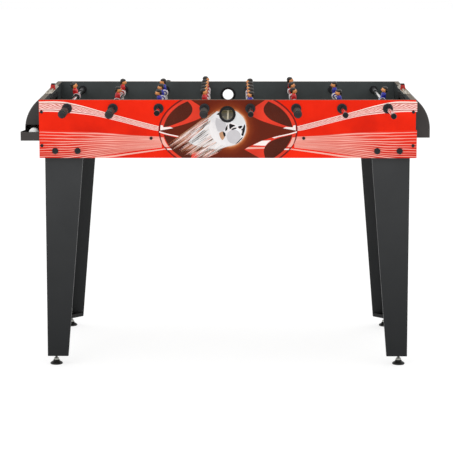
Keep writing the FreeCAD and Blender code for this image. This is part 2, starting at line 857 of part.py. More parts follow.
def make_rod(number, master):
    """One rod with its players, grip, cap and bumpers, slid and tilted as it is left at rest."""
    count, gap, is_red, slid, tilt = RODS[number - 1]
    places = player_places(count, gap)
    turn = Rotation(Vector(0, 1, 0), tilt)
    if not is_red:
        turn = turn.multiply(Rotation(Vector(0, 0, 1), 180))
    pieces = [
        make_tube(f"rod{number}_tube", places),
        make_grip(f"rod{number}_grip"),
        make_players(f"rod{number}_players", master, places),
        make_bumpers(f"rod{number}_bumpers", places),
    ]
    for piece in pieces:
        place(piece, rod_x(number - 1), slid, rod_z, turn)


def check_and_write():
    """Stop on any failed object, then write each sub-part to its own file."""
    doc.recompute()
    for item in doc.Objects:
        if "Invalid" in item.State or "Error" in item.State:
            raise RuntimeError(f"{item.Label} failed: {item.State}")
    os.makedirs("parts", exist_ok=True)
    for node in nodes:
        if node.Shape.isNull() or not node.Shape.isValid():
            raise RuntimeError(f"{node.Label} has no valid shape")
        node.Shape.exportStep(f"parts/{node.Label}.step")
    print(f"{len(nodes)} sub-parts written")


make_side_panel("front_panel", -half_width)
make_side_panel("rear_panel", inner_y)
make_end_panel("left_end_panel", -1)
make_end_panel("right_end_panel", 1)
make_playfield()
make_field_supports()
make_panel_screws()
make_leg_bolts()
for corner, (side_x, side_y, turn) in CORNERS.items():
    make_leg(f"{corner}_leg", side_x, side_y, turn)
    make_leveller(f"{corner}_leveller", side_x, side_y)
make_foot_plates()
for name, side in (("left", -1), ("right", 1)):
    make_goal_frame(f"{name}_goal_frame", side)
    make_ball_return(f"{name}_ball_return", side)
    make_score_slider(f"{name}_score_slider", side)
make_scorer_strips()
make_ball()
make_bushings()
make_serve_cups()
player = make_player()
for number in range(1, len(RODS) + 1):
    make_rod(number, player)
check_and_write()
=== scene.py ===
import math
import random

import bmesh
import bpy
from mathutils import Matrix, Vector
from mathutils.geometry import delaunay_2d_cdt


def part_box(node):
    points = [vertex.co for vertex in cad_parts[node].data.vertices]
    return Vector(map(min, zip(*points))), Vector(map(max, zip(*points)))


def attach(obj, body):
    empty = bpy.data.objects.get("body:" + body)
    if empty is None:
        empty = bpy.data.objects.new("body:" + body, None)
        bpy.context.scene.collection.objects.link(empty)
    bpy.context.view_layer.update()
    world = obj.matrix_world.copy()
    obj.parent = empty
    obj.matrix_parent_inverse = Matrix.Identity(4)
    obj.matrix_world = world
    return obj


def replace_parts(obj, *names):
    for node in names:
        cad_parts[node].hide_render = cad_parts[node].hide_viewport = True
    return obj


# Foosball table: the printed panels, moulded players, grips, hardware and markings that dress the
# CAD frame.  Shapes are drawn in millimetres and turned into metres when a piece is made.

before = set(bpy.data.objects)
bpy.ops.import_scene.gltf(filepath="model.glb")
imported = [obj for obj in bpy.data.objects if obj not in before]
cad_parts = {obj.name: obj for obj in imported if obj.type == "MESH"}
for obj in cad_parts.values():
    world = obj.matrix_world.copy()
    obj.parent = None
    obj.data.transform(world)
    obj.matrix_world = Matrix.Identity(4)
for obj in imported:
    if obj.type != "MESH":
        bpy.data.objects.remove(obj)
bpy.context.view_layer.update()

MM = 0.001


def box(node):
    """Corners of a node's box, in millimetres."""
    return [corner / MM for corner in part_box(node)]


def centre(node):
    """Middle of a node's box, in millimetres."""
    low, high = box(node)
    return (low + high) / 2


panel_low, panel_high = box("front_panel")
HALF_LENGTH = panel_high.x
TOP = panel_high.z
BOTTOM = panel_low.z
MIDDLE = (TOP + BOTTOM) / 2
HALF_WIDTH = -panel_low.y
INNER_Y = -panel_high.y
FIELD_HALF, _, FIELD = box("playfield")[1]
SERVE_Z = centre("serve_cups").z
FACES = ((-1, "front"), (1, "rear"))
ENDS = ((-1, "left"), (1, "right"))

# One row per rod from the left: players, gap between them, team and tilt about Y in degrees.
RODS = [
    (1, 0, "red", -14),
    (2, 260, "red", 6),
    (3, 180, "blue", -7),
    (5, 105, "red", -7),
    (5, 105, "blue", 3),
    (3, 180, "red", -5),
    (2, 260, "blue", -6),
    (1, 0, "blue", 12),
]


# ---- finishes ----

PRINT_SHEEN = 0.08
LAMINATE_SHEEN = 0.15
MOWN_BAND = 0.19


def tint(red, green, blue):
    """A colour given as 0..255 screen values, as the linear values that a shader takes."""
    shares = [value / 255 for value in (red, green, blue)]
    linear = [s / 12.92 if s <= 0.04045 else ((s + 0.055) / 1.055) ** 2.4 for s in shares]
    return (*linear, 1)


class Finish:
    """A procedural material that is built up node by node."""

    def __init__(self, name):
        self.material = bpy.data.materials.new(name)
        self.material.use_nodes = True
        self.tree = self.material.node_tree
        self.surface = self.tree.nodes["Principled BSDF"]
        coordinates = self.tree.nodes.new("ShaderNodeTexCoord")
        self.spot = coordinates.outputs["Object"]
        self.uv = coordinates.outputs["UV"]

    def node(self, kind, inputs=(), **settings):
        """Add a node, set its properties and feed its inputs with values or sockets."""
        made = self.tree.nodes.new(kind)
        for key, value in settings.items():
            setattr(made, key, value)
        for key, value in dict(inputs).items():
            self.feed(made.inputs[key], value)
        return made

    def feed(self, socket, value):
        if isinstance(value, bpy.types.NodeSocket):
            self.tree.links.new(value, socket)
        else:
            socket.default_value = value

    def stretched(self, scales, source=None):
        """Coordinates scaled along each axis."""
        inputs = {"Vector": source or self.spot, "Scale": scales}
        return self.node("ShaderNodeMapping", inputs).outputs[0]

    def noise(self, scale, detail=4, roughness=0.55, vector=None):
        inputs = {"Vector": vector or self.spot, "Scale": scale, "Detail": detail, "Roughness": roughness}
        return self.node("ShaderNodeTexNoise", inputs).outputs["Fac"]

    def cells(self, scale, vector=None):
        made = self.node("ShaderNodeTexVoronoi", {"Vector": vector or self.spot, "Scale": scale})
        return made.outputs["Distance"]

    def math(self, operation, first, second=0.0):
        made = self.node("ShaderNodeMath", {0: first, 1: second}, operation=operation)
        return made.outputs[0]

    def steps(self, factor, low=0.3, high=0.7, new_low=0.0, new_high=1.0):
        """Map a range of the factor, by default the usual one of a noise, to a new range."""
        inputs = {0: factor, 1: low, 2: high, 3: new_low, 4: new_high}
        return self.node("ShaderNodeMapRange", inputs).outputs[0]

    def ramp(self, factor, stops, interpolation="LINEAR"):
        """Colours along a factor; stops are (place, screen colour)."""
        made = self.node("ShaderNodeValToRGB", {"Fac": factor})
        made.color_ramp.interpolation = interpolation
        elements = made.color_ramp.elements
        while len(elements) < len(stops):
            elements.new(1)
        for element, (place, colour) in zip(elements, stops):
            element.position = place
            element.color = tint(*colour)
        return made.outputs["Color"]

    def mix(self, factor, first, second, blend="MIX"):
        made = self.node("ShaderNodeMix", data_type="RGBA", blend_type=blend)
        for index, value in ((0, factor), (6, first), (7, second)):
            self.feed(made.inputs[index], value)
        return made.outputs[2]

    def axes(self, source=None):
        """The three numbers of a vector socket."""
        made = self.node("ShaderNodeSeparateXYZ", {0: source or self.spot})
        return made.outputs

    def normal(self):
        return self.axes(self.node("ShaderNodeNewGeometry").outputs["Normal"])

    def bump(self, height, strength, distance=0.001):
        inputs = {"Height": height, "Strength": strength, "Distance": distance}
        return self.node("ShaderNodeBump", inputs).outputs[0]

    def done(self, colour, roughness, bump=None, **others):
        """Feed the surface and give back the finished material."""
        self.feed(self.surface.inputs["Base Color"], colour)
        self.feed(self.surface.inputs["Roughness"], roughness)
        if bump is not None:
            self.feed(self.surface.inputs["Normal"], bump)
        for key, value in others.items():
            self.feed(self.surface.inputs[key.replace("_", " ")], value)
        return self.material

    def film(self, colour, roughness=0.36, relief=None):
        """Finish a print under a clear film."""
        relief = relief or self.noise(700, 2)
        return self.done(colour, roughness, self.bump(relief, 0.03, 0.0001), Specular_IOR_Level=PRINT_SHEEN)


def moulding(name, colour, roughness, grain=900, depth=0.15, **others):
    """Moulded plastic or rubber: fine grain, faint wear and a slightly uneven gloss."""
    f = Finish(name)
    fine = f.noise(grain, 3)
    broad = f.noise(14, 3)
    dark = tuple(0.78 * value for value in colour[:3]) + (1,)
    shade = f.mix(f.steps(broad), dark, colour)
    gloss = f.steps(f.noise(60, 5), 0.3, 0.7, roughness * 0.85, min(1, roughness * 1.2))
    return f.done(shade, gloss, f.bump(fine, depth, 0.0002), **others)


def metal(name, colour, roughness, along="y"):
    """Drawn or plated metal with fine scratches along one axis."""
    f = Finish(name)
    scales = {"y": (900, 3, 900), "z": (900, 900, 3)}[along]
    scratches = f.noise(1, 4, 0.6, f.stretched(scales))
    haze = f.noise(35, 4)
    dark = tuple(0.8 * value for value in colour[:3]) + (1,)
    shade = f.mix(f.steps(haze, 0.35, 0.7), dark, colour)
    gloss = f.steps(scratches, 0.3, 0.75, roughness * 0.7, roughness * 1.5)
    return f.done(shade, gloss, f.bump(scratches, 0.08, 0.0001), Metallic=1.0)


def ink(name, colour, shade):
    """Printed ink under a clear film, with soft cloudy depth."""
    f = Finish(name)
    dark = tuple(shade * value for value in colour[:3]) + (1,)
    cloud = f.noise(16, 5)
    speck = f.noise(700, 2)
    body = f.mix(f.steps(cloud, 0.35, 0.65), dark, colour)
    body = f.mix(f.steps(speck, 0.45, 0.6, 0, 0.01), body, (1, 1, 1, 1))
    return f.film(body, f.steps(cloud, 0.3, 0.7, 0.34, 0.42), speck)


def raw_board(f):
    """Colour of a cut board edge: pressed chips in tan and olive."""
    chips = f.cells(420, f.stretched((0.35, 0.35, 1)))
    flecks = f.noise(900, 3)
    wood = f.ramp(chips, [(0.0, (66, 52, 32)), (0.5, (94, 78, 52)), (1.0, (122, 104, 76))])
    return f.mix(f.steps(flecks, 0.35, 0.7), wood, tint(92, 80, 60), "MULTIPLY")


def charcoal(f, low, high):
    """Colour of charcoal laminate with a faint vertical grain."""
    grain = f.noise(1, 6, 0.6, f.stretched((700, 700, 40)))
    cloud = f.noise(9, 3)
    shade = f.mix(f.steps(cloud), low, high)
    return f.mix(f.steps(grain, 0.35, 0.7, 0, 0.3), shade, low), grain


def panel_finish(name, outward):
    """Side panel: red print outside, charcoal inside and raw board on its cut edges."""
    f = Finish(name)
    _, ny, nz = f.normal()
    cloud = f.noise(6.5, 4, 0.5)
    red = f.ramp(cloud, [
        (0.30, (206, 26, 4)), (0.46, (230, 34, 6)), (0.62, (242, 40, 10)), (0.8, (250, 54, 22)),
    ])
    inside, _ = charcoal(f, tint(72, 76, 77), tint(84, 90, 91))
    outer = f.math("GREATER_THAN", f.math("MULTIPLY", ny, float(outward)), 0.5)
    edge = f.math("GREATER_THAN", f.math("ABSOLUTE", nz), 0.5)
    colour = f.mix(outer, inside, red)
    colour = f.mix(edge, colour, raw_board(f))
    speck = f.noise(700, 2)
    gloss = f.steps(outer, 0, 1, 0.5, 0.36)
    relief = f.bump(f.mix(edge, speck, f.noise(500, 5)), 0.06, 0.0003)
    return f.done(colour, gloss, relief, Specular_IOR_Level=PRINT_SHEEN)


def board_finish(name, low, high):
    """Laminated board with raw cut edges on top and bottom."""
    f = Finish(name)
    _, _, nz = f.normal()
    colour, grain = charcoal(f, low, high)
    edge = f.math("GREATER_THAN", f.math("ABSOLUTE", nz), 0.5)
    colour = f.mix(edge, colour, raw_board(f))
    gloss = f.steps(grain, 0.3, 0.7, 0.42, 0.55)
    return f.done(colour, gloss, f.bump(grain, 0.06, 0.0002), Specular_IOR_Level=LAMINATE_SHEEN)


def leg_finish(name):
    """Leg laminate: charcoal with a fine upright grain, and painted shade that darkens it towards the floor.
    """
    f = Finish(name)
    colour, grain = charcoal(f, tint(54, 55, 56), tint(59, 60, 61))
    _, _, z = f.axes()
    # Painted shade: the colour is mixed towards near-black lower down the leg, for the shade near the floor.
    colour = f.mix(f.steps(z, 0.0, 0.65, 0.85, 0.0), colour, tint(20, 22, 23))
    gloss = f.steps(grain, 0.3, 0.7, 0.4, 0.52)
    return f.done(colour, gloss, f.bump(grain, 0.06, 0.0002), Specular_IOR_Level=LAMINATE_SHEEN)


def field_finish(name):
    """Playfield laminate: olive green in broad mown bands."""
    f = Finish(name)
    _, y, _ = f.axes()
    band = f.math("SINE", f.math("MULTIPLY", y, 2 * math.pi / MOWN_BAND))
    blades = f.noise(1, 5, 0.6, f.stretched((900, 160, 900)))
    light = f.mix(f.steps(blades), tint(72, 63, 30), tint(94, 84, 42))
    dark = f.mix(f.steps(blades), tint(50, 44, 24), tint(66, 59, 32))
    colour = f.mix(f.steps(band, -0.15, 0.15), dark, light)
    return f.done(colour, f.steps(blades, 0.3, 0.7, 0.45, 0.6), f.bump(blades, 0.05, 0.0003))


def print_maroon(name):
    """Maroon of the printed oval, warming to rust round the ball."""
    f = Finish(name)
    x, _, z = f.axes()
    across = f.math("SUBTRACT", x, 0.001)
    up = f.math("SUBTRACT", z, 0.004)
    reach = f.math("SQRT", f.math("ADD", f.math("MULTIPLY", across, across), f.math("MULTIPLY", up, up)))
    wavy = f.math("ADD", reach, f.steps(f.noise(14, 3), 0.3, 0.7, -0.003, 0.003))
    colour = f.ramp(f.steps(wavy, 0.055, 0.100), [
        (0.0, (236, 196, 168)), (0.07, (206, 128, 82)), (0.14, (160, 78, 38)),
        (0.3, (126, 48, 20)), (0.6, (108, 35, 15)), (1.0, (100, 33, 16)),
    ])
    speck = f.noise(240, 4)
    colour = f.mix(f.steps(speck, 0.4, 0.65, 0, 0.14), colour, tint(70, 40, 30))
    return f.film(colour)


def print_ribbon(name):
    """Printed ribbon: white borders, a thin red line by each, and fine pink waves between."""
    f = Finish(name)
    u, v, _ = f.axes(f.uv)
    drift = f.steps(f.noise(1, 3, 0.5, f.stretched((7, 3, 1), f.uv)), 0.3, 0.7, -0.5, 0.5)
    hatch = f.math("SUBTRACT", f.math("MULTIPLY", v, 6.0), f.math("MULTIPLY", u, 20.0))
    pink = f.ramp(f.math("FRACT", f.math("ADD", hatch, drift)), [
        (0.0, (190, 96, 86)), (0.2, (226, 152, 142)), (0.5, (255, 220, 214)), (0.8, (236, 168, 160)),
        (1.0, (190, 96, 86)),
    ])
    lines = f.ramp(v, [
        (0.0, (255, 232, 222)), (0.12, (184, 72, 58)), (0.2, (255, 226, 210)), (0.74, (250, 224, 218)),
        (0.80, (176, 66, 62)), (0.88, (255, 216, 208)),
    ], "CONSTANT")
    middle = f.math("MULTIPLY", f.math("GREATER_THAN", v, 0.23), f.math("LESS_THAN", v, 0.74))
    colour = f.mix(middle, lines, pink)
    return f.film(colour)


def print_fan(name):
    """Printed fan of lines that spreads from solid pink into thin lines on red."""
    f = Finish(name)
    u, v, _ = f.axes(f.uv)
    drift = f.steps(f.noise(1, 2, 0.5, f.stretched((3, 5, 1), f.uv)), 0.3, 0.7, -0.25, 0.25)
    crowd = f.math("MULTIPLY", v, f.math("ADD", f.math("MULTIPLY", v, 3.5), 9.0))
    place = f.math("FRACT", f.math("ADD", crowd, drift))
    wave = f.math("ABSOLUTE", f.math("SUBTRACT", place, 0.5))
    width = f.steps(u, 0.0, 1.0, 0.09, 0.38)
    share = f.steps(f.math("SUBTRACT", wave, width), -0.05, 0.06, 1.0, 0.0)
    ground = f.mix(f.steps(v, 0.1, 0.9), tint(236, 44, 22), tint(198, 44, 30))
    ground = f.mix(f.steps(u, 0.25, 0.95), ground, tint(208, 116, 102))
    streaks = f.noise(1, 4, 0.6, f.stretched((2, 16, 1), f.uv))
    line = f.ramp(streaks, [
        (0.3, (228, 118, 104)), (0.5, (244, 160, 146)), (0.7, (255, 202, 192)),
    ])
    return f.film(f.mix(share, ground, line))


def print_ball(name):
    """Printed ball: white leather with grey shading towards its lower left."""
    f = Finish(name)
    x, _, z = f.axes()
    slope = f.math("ADD", f.math("MULTIPLY", x, 0.8), f.math("MULTIPLY", z, 0.6))
    wrinkles = f.noise(90, 5)
    shade = f.math("ADD", slope, f.steps(wrinkles, 0.3, 0.7, -0.012, 0.012))
    colour = f.ramp(f.steps(shade, -0.035, 0.045), [
        (0.0, (238, 234, 234)), (0.3, (224, 221, 223)), (0.6, (240, 240, 242)), (1.0, (228, 230, 232)),
    ])
    return f.film(colour, 0.36, wrinkles)


def hair_finish(name):
    """Painted curls, dark brown."""
    f = Finish(name)
    curls = f.cells(520)
    colour = f.ramp(curls, [(0.0, (14, 10, 8)), (0.6, (30, 22, 16)), (1.0, (58, 44, 32))])
    return f.done(colour, 0.42, f.bump(curls, 0.5, 0.0006))


def paint_finish(name, colour, dark):
    """Hand-sprayed figure paint, a little darker where it pooled."""
    f = Finish(name)
    pool = f.noise(130, 4)
    shade = f.mix(f.steps(pool, 0.34, 0.62), dark, colour)
    return f.done(shade, f.steps(pool, 0.3, 0.7, 0.28, 0.4), f.bump(f.noise(1500, 2), 0.08, 0.0002))


def strip_finish(name):
    """Score strip: cream plastic, with a tan scale on its upper faces."""
    f = Finish(name)
    _, _, nz = f.normal()
    cloud = f.noise(40, 4)
    scale = f.mix(f.steps(cloud), tint(116, 104, 82), tint(136, 123, 100))
    cream = f.mix(f.steps(cloud), tint(226, 218, 204), tint(242, 236, 224))
    colour = f.mix(f.math("GREATER_THAN", nz, 0.5), cream, scale)
    return f.done(colour, f.steps(cloud, 0.3, 0.7, 0.36, 0.46), f.bump(f.noise(900, 3), 0.1, 0.0002))


def floor_finish(name):
    """Studio floor: a pale sheet that glows a little, so that shadows stay faint."""
    f = Finish(name)
    cloud = f.noise(0.7, 4)
    colour = f.mix(f.steps(cloud), (0.34, 0.34, 0.34, 1), (0.36, 0.36, 0.36, 1))
    relief = f.bump(f.noise(300, 3), 0.02, 0.0002)
    return f.done(colour, 0.8, relief, Specular_IOR_Level=0.1, Emission_Strength=0.72)


looks = {
    "front_print": panel_finish("printed_front", -1),
    "rear_print": panel_finish("printed_rear", 1),
    "end_panel": board_finish("end_laminate", tint(48, 52, 53), tint(66, 70, 71)),
    "leg": leg_finish("leg_laminate"),
    "field": field_finish("playfield_laminate"),
    "batten": board_finish("batten_board", tint(150, 124, 84), tint(178, 150, 104)),
    "steel": metal("black_steel", tint(52, 54, 56), 0.38, "z"),
    "zinc": metal("stud_zinc", tint(168, 168, 162), 0.3, "z"),
    "chrome": metal("rod_chrome", tint(214, 206, 202), 0.12),
    "rubber": moulding("bumper_rubber", tint(30, 30, 31), 0.7, 600, 0.3),
    "strip": strip_finish("score_strip"),
    "counter": moulding("score_counter", tint(206, 34, 26), 0.32),
    "ball": moulding("ball_plastic", tint(242, 242, 240), 0.3),
    "hair": hair_finish("paint_hair"),
    "ribbon": print_ribbon("print_ribbon"),
    "fan": print_fan("print_fan"),
    "print_maroon": print_maroon("print_maroon"),
    "print_ball": print_ball("print_ball"),
    "floor": floor_finish("studio_floor"),
}
# Mouldings: screen colour, roughness, grain, depth of the grain and specular level.
for name, colour, *surface, sheen in (
    ("black", (22, 22, 23), 0.42, 900, 0.15, 0.25),
    ("collar", (38, 39, 43), 0.38, 900, 0.15, 0.3),
    ("cover", (63, 58, 56), 0.36, 500, 0.1, 0.3),
    ("grip", (36, 32, 20), 0.5, 900, 0.2, 0.06),
    ("tip", (46, 45, 46), 0.4, 900, 0.15, 0.15),
    ("dome", (22, 23, 25), 0.3, 900, 0.15, 0.15),
    ("foot", (26, 26, 24), 0.46, 900, 0.15, 0.3),
):
    looks[name] = moulding(f"{name}_moulding", tint(*colour), *surface, Specular_IOR_Level=sheen)
# Figure paints: screen colour and the darker one where the paint pooled.
for name, colour, dark in (
    ("white", (240, 236, 236), (214, 206, 208)),
    ("marking", (214, 204, 172), (190, 178, 146)),
    ("red", (224, 22, 26), (158, 12, 18)),
    ("blue", (30, 36, 172), (18, 18, 108)),
    ("skin", (255, 176, 108), (240, 146, 82)),
    ("boots", (32, 30, 32), (20, 18, 20)),
):
    looks[name] = paint_finish(f"paint_{name}", tint(*colour), tint(*dark))
# Inks: screen colour and how dark its clouds are.
for name, *colour, shade in (
    ("leaf", 86, 30, 14, 0.72), ("pearl", 228, 229, 229, 0.9), ("grey", 206, 203, 206, 0.88),
    ("ember", 140, 62, 34, 0.7), ("tan", 196, 150, 116, 0.75), ("line", 118, 22, 20, 0.82),
    ("band", 232, 60, 38, 0.8), ("white", 250, 238, 234, 0.92), ("pink", 248, 182, 168, 0.86),
    ("salmon", 226, 158, 130, 0.8), ("rust", 178, 92, 52, 0.7), ("black", 30, 28, 30, 0.6),
    ("number", 28, 28, 30, 0.82),
):
    looks[f"print_{name}"] = ink(f"print_{name}", tint(*colour), shade)


# ---- shapes ----

def soften(points, radius, steps=3, closed=False):
    """Round the corners of a line of points."""
    points = [Vector(point) for point in points]
    count = len(points)
    line = []
    for index, point in enumerate(points):
        if not closed and index in (0, count - 1):
            line.append(point)
            continue
        before = points[index - 1] - point
        after = points[(index + 1) % count] - point
        start = point + before.normalized() * min(radius, before.length * 0.45)
        end = point + after.normalized() * min(radius, after.length * 0.45)
        for step in range(steps + 1):
            t = step / steps
            line.append(start * (1 - t) ** 2 + point * (2 * t * (1 - t)) + end * t ** 2)
    return line


def curve(points, steps=5):
    """A smooth line through a few points."""
    points = [Vector(point) for point in points]
    ends = [points[0] * 2 - points[1]] + points + [points[-1] * 2 - points[-2]]
    line = []
    for a, b, c, d in zip(ends, ends[1:], ends[2:], ends[3:]):
        for step in range(steps):
            t = step / steps
            bend = (a * 2 - b * 5 + c * 4 - d) * t ** 2 + (b * 3 - a - c * 3 + d) * t ** 3
            line.append((b * 2 + (c - a) * t + bend) / 2)
    return line + [points[-1]]


def ring(radius, count=48):
    """Points of a circle round the origin."""
    angles = [2 * math.pi * k / count for k in range(count)]
    return [(radius * math.cos(angle), radius * math.sin(angle)) for angle in angles]


def turn(bm, profile, steps=32, place=Matrix(), look=0, closed=False, ribs=None):
    """Turn (along, radius) points round the local Z axis; ribs adds to a radius by row and angle."""
    rows = []
    for index, (along, radius) in enumerate(profile):
        row = []
        for step in range(1 if radius < 1e-6 else steps):
            angle = 2 * math.pi * step / steps
            reach = radius + (ribs(index, angle) if ribs and radius else 0)
            spot = Vector((reach * math.cos(angle), reach * math.sin(angle), along))
            row.append(bm.verts.new(place @ spot))
        rows.append(row)
    pairs = list(zip(rows, rows[1:]))
    if closed:
        pairs.append((rows[-1], rows[0]))
    for low, high in pairs:
        for step in range(steps):
            corners = [row[at % len(row)] for row, at in (
                (low, step), (low, step + 1), (high, step + 1), (high, step),
            )]
            corners = list(dict.fromkeys(corners))
            if len(corners) > 2:
                bm.faces.new(corners).material_index = look


def skin_rows(bm, rows, look_of):
    """Join rings of equal length into a closed skin; look_of gives a face's finish from its row."""
    made = [[bm.verts.new(point) for point in row] for row in rows]
    count = len(rows[0])
    for index, (low, high) in enumerate(zip(made, made[1:])):
        for step in range(count):
            after = (step + 1) % count
            face = bm.faces.new((low[step], low[after], high[after], high[step]))
            face.material_index = look_of(index)
    bm.faces.new(made[0]).material_index = look_of(0)
    bm.faces.new(made[-1]).material_index = look_of(len(rows) - 2)


def prism(bm, outline, low, high, look=0, holes=(), place=Matrix()):
    """A closed plate from an outline in X and Z, between two heights towards -Y, less round holes."""
    flat = [Vector(point) for point in outline]
    swept = sum(a.x * b.y - a.y * b.x for a, b in zip(flat, flat[1:] + flat[:1]))
    if swept < 0:
        flat.reverse()
    faces = [list(range(len(flat)))]
    for x, z, radius in holes:
        rim = [Vector((x, z)) + Vector(point) for point in ring(radius, 28)]
        faces.append(list(range(len(flat), len(flat) + len(rim))))
        flat += rim
    spots, _, cut, _, _, origins = delaunay_2d_cdt(flat, [], faces, 1, 1e-4)
    kept = [face for face, origin in zip(cut, origins) if list(origin) == [0]]
    used = sorted({index for face in kept for index in face})
    near, far = [
        {index: bm.verts.new(place @ Vector((*spots[index], -height)).xzy) for index in used}
        for height in (high, low)
    ]
    ways = {}
    for face in kept:
        bm.faces.new([near[index] for index in face]).material_index = look
        bm.faces.new([far[index] for index in reversed(face)]).material_index = look
        for a, b in zip(face, face[1:] + face[:1]):
            ways[a, b] = True
    for a, b in ways:
        if (b, a) not in ways:
            bm.faces.new((near[b], near[a], far[a], far[b])).material_index = look


def piece(name, bm, finishes, body, at=Matrix(), sharp=35):
    """Make an object of the drawn shape, in metres, riding on its body."""
    bmesh.ops.recalc_face_normals(bm, faces=bm.faces)
    mesh = bpy.data.meshes.new(name)
    bm.to_mesh(mesh)
    bm.free()
    mesh.transform(Matrix.Scale(MM, 4))
    for finish in finishes:
        mesh.materials.append(looks[finish])
    for polygon in mesh.polygons:
        polygon.use_smooth = True
    mesh.set_sharp_from_angle(angle=math.radians(sharp))
    return set_down(name, mesh, body, at)


def link(name, data):
    """Add an object to the scene."""
    made = bpy.data.objects.new(name, data)
    bpy.context.scene.collection.objects.link(made)
    return made


def set_down(name, mesh, body, at):
    """Place a mesh in the frame."""
    made = link(name, mesh)
    place = at.copy()
    place.translation *= MM
    made.matrix_world = place
    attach(made, body)
    return made


def stock(draw, finishes, sharp=35):
    """A shape that is drawn once and set down in several places."""
    first = []

    def put(name, body, at):
        if first:
            return set_down(name, first[0].data, body, at)
        first.append(piece(name, draw(), finishes, body, at, sharp))
        return first[0]

    return put


def ring_shape(profile, steps):
    """A closed ring turned from a profile."""
    bm = bmesh.new()
    turn(bm, profile, steps, closed=True)
    return bm


# ---- CAD nodes that are shown as they are ----

def dress(node, look):
    """Give a CAD node its finish."""
    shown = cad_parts[node]
    shown.data.materials.clear()
    shown.data.materials.append(looks[look])


corner_names = [f"{y}_{x}" for _, y in FACES for _, x in ENDS]
for look, nodes in {
    "front_print": "front_panel", "rear_print": "rear_panel", "end_panel": "left_end_panel right_end_panel",
    "field": "playfield", "batten": "field_supports", "steel": "leg_bolts panel_screws",
    "black": "leg_foot_plates left_goal_frame right_goal_frame", "strip": "scorer_strips",
    "cover": "left_ball_return right_ball_return", "counter": "left_score_slider right_score_slider",
    "ball": "game_ball",
}.items():
    for node in nodes.split():
        dress(node, look)
for corner in corner_names:
    dress(f"{corner}_leg", "leg")
for number in range(1, 9):
    dress(f"rod{number}_tube", "chrome")
    dress(f"rod{number}_bumpers", "rubber")


# ---- printed artwork ----

ART_X = 2
EDGE = 86.8
LAYER_START = 0.03
LAYER_STEP = 0.07
INK = 0.05
STRIP_STEPS = 56
TUBES = [centre(f"rod{number}_tube") for number in range(1, 9)]
PRINT_HOLES = [(tube.x, tube.z - MIDDLE, 12) for tube in TUBES] + [(0, SERVE_Z - MIDDLE, 21.5)]


def mirrored(points):
    """The outline on the other side of the artwork's middle."""
    return [(2 * ART_X - point[0], point[1]) for point in points]


def oval(reach_x, reach_z, count=72):
    """The printed oval, cut off at the panel's edges."""
    points = []
    for step in range(count):
        angle = 2 * math.pi * step / count
        x = reach_x * math.cos(angle)
        z = -5 + reach_z * math.sin(angle)
        if abs(z) > EDGE:
            z = math.copysign(EDGE, z)
            x = math.copysign(reach_x * (1 - ((z + 5) / reach_z) ** 2) ** 0.5, x)
        point = Vector((ART_X + x, z))
        if not points or (point - points[-1]).length > 0.5:
            points.append(point)
    return points


def printed(bm, layer, outline, look):
    """Lay one printed shape in its layer, with the panel's openings cut out of it."""
    low = LAYER_START + LAYER_STEP * layer
    xs = [point[0] for point in outline]
    zs = [point[1] for point in outline]
    holes = [
        (x, z, r) for x, z, r in PRINT_HOLES
        if min(xs) - r < x < max(xs) + r and min(zs) - r < z < max(zs) + r
    ]
    prism(bm, outline, low, low + INK, look, holes)


